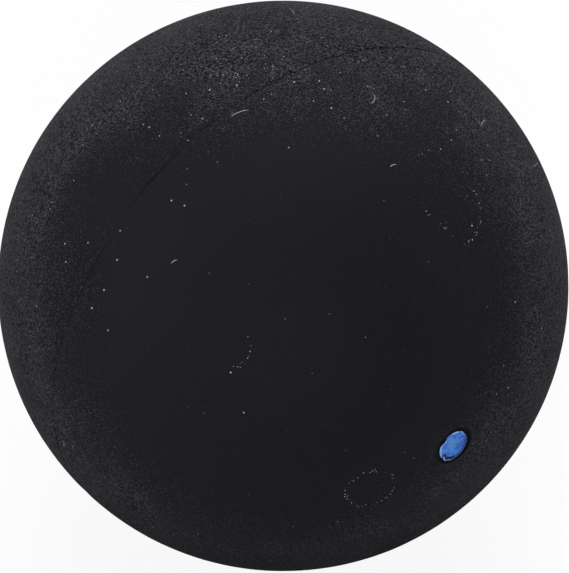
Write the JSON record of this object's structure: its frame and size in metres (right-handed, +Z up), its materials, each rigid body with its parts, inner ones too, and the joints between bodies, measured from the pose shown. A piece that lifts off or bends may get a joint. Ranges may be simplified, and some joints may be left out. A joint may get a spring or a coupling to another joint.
{
  "type": "squash ball",
  "caption": "Hollow black rubber squash ball, two bonded half shells with a fine seam and one small blue speed dot.",
  "frame": {"origin": "the ball's centre", "axes": "Y runs from pole to pole, square to the seam, with the blue dot at the -Y pole; the seam lies in the XZ plane; +Z up"},
  "size_m": [0.04, 0.04, 0.04],
  "materials": {
    "buffed_rubber": "matte",
    "rubber_solution": "satin",
    "dot_paint": "satin"
  },
  "bodies": {
    "root": {"half_shell_front": "buffed_rubber", "half_shell_back": "buffed_rubber", "seam_bond": "rubber_solution", "speed_dot": "dot_paint"}
  },
  "joints": []
}
